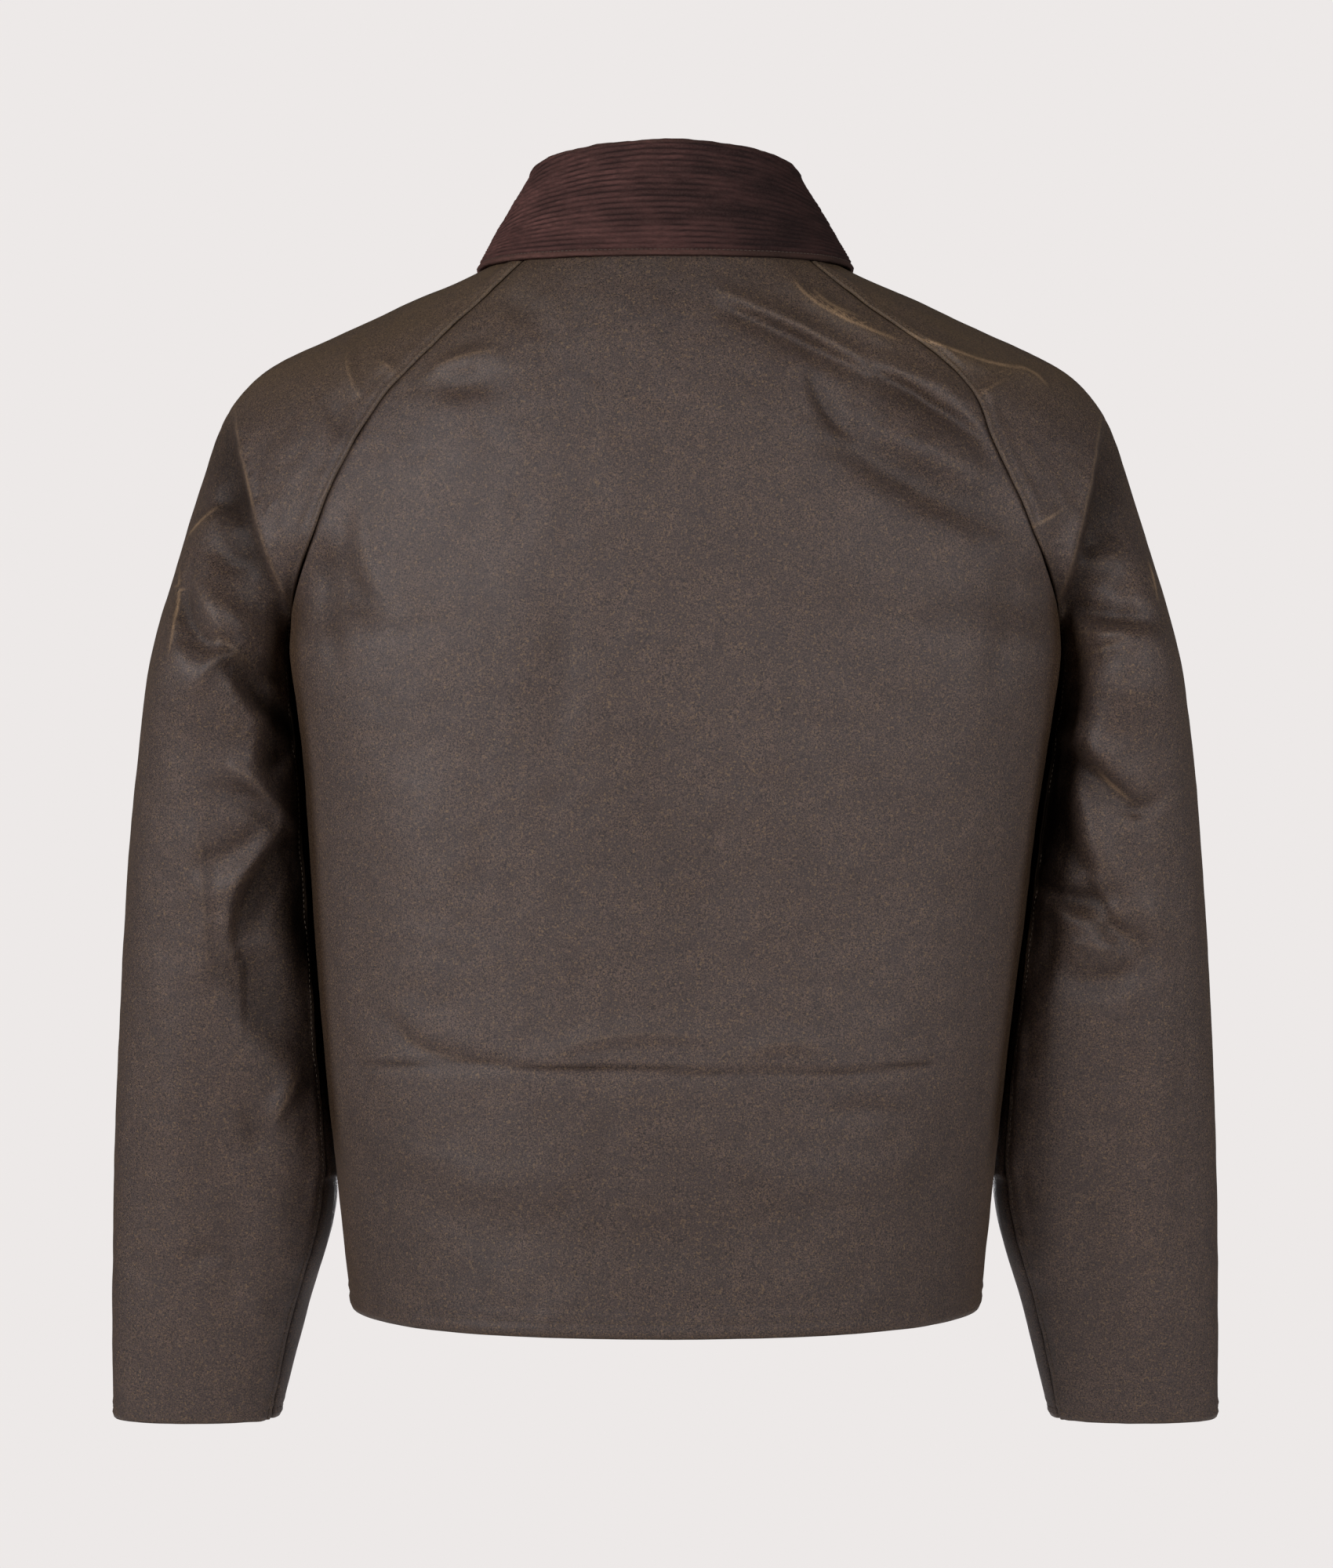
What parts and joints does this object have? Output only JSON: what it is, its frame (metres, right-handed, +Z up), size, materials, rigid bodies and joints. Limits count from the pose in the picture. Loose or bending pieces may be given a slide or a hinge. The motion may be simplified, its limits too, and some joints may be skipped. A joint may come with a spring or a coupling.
{
  "type": "waxed cotton jacket",
  "caption": "Short waxed cotton jacket, hanging filled out: raglan sleeves, folded corduroy collar, zipped front, open neck, hem and cuffs.",
  "frame": {"origin": "the nape: inner face of the cloth at the middle of the back neck seam, where the wearer's neck and shoulders carry the jacket", "axes": "+Z up, -Y out of the jacket's front, +X towards the wearer's left"},
  "size_m": [0.675, 0.26, 0.7539],
  "materials": {
    "waxed_cotton": "waxed, olive brown with a soft dull sheen",
    "corduroy": "dark brown cord pile",
    "zip_tape": "woven, dark",
    "antique_brass": "dulled"
  },
  "bodies": {
    "jacket": {"back": "waxed_cotton", "front_left": "waxed_cotton", "front_right": "waxed_cotton", "sleeve_top_left": "waxed_cotton", "sleeve_top_right": "waxed_cotton", "sleeve_under_left": "waxed_cotton", "sleeve_under_right": "waxed_cotton", "collar": "corduroy", "zip_tape_left": "zip_tape", "zip_tape_right": "zip_tape", "zip_slider": "antique_brass"},
    "pull": {"zip_pull": "antique_brass"}
  },
  "joints": [
    {"name": "pull_hinge", "type": "hinge", "parent": "jacket", "child": "pull", "pos_m": [0, -0.15599, -0.10508], "axis": [-1, 0, 0], "range_deg": [0, 150]}
  ]
}
